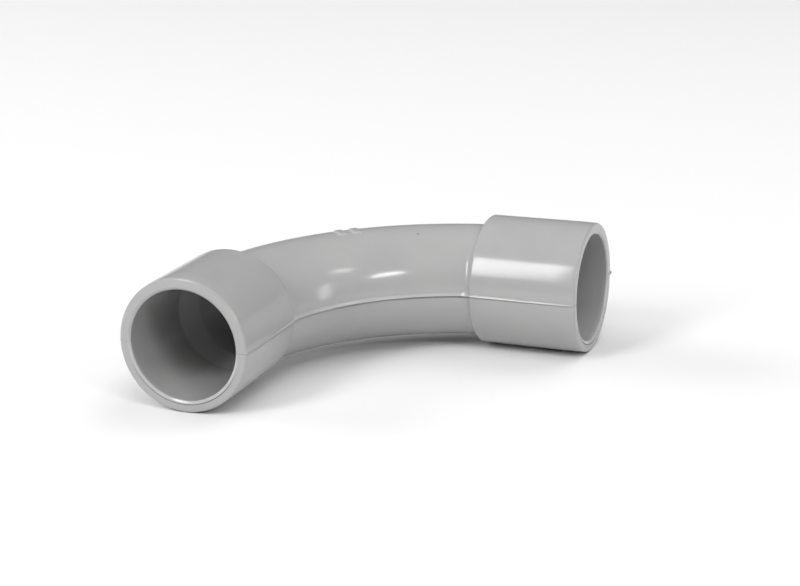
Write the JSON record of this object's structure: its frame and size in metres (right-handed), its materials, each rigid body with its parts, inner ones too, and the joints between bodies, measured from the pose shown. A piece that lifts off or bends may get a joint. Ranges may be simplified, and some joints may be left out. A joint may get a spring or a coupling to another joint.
{
  "type": "conduit elbow",
  "caption": "Quarter-bend elbow of grey rigid PVC conduit, with a plain solvent-weld socket at each end, as upper and lower half shells.",
  "frame": {"origin": "bottom centre of the elbow's box, on the surface it lies on", "axes": "+Z square to the plane of the bend; the front socket opens towards -Y and the side socket towards +X"},
  "size_m": [0.0696, 0.07, 0.0246],
  "materials": {
    "upper_shell": "semi-gloss moulded PVC, light grey",
    "lower_shell": "semi-gloss moulded PVC, light grey"
  },
  "bodies": {
    "root": {"upper_shell": "upper_shell", "lower_shell": "lower_shell"}
  },
  "joints": []
}
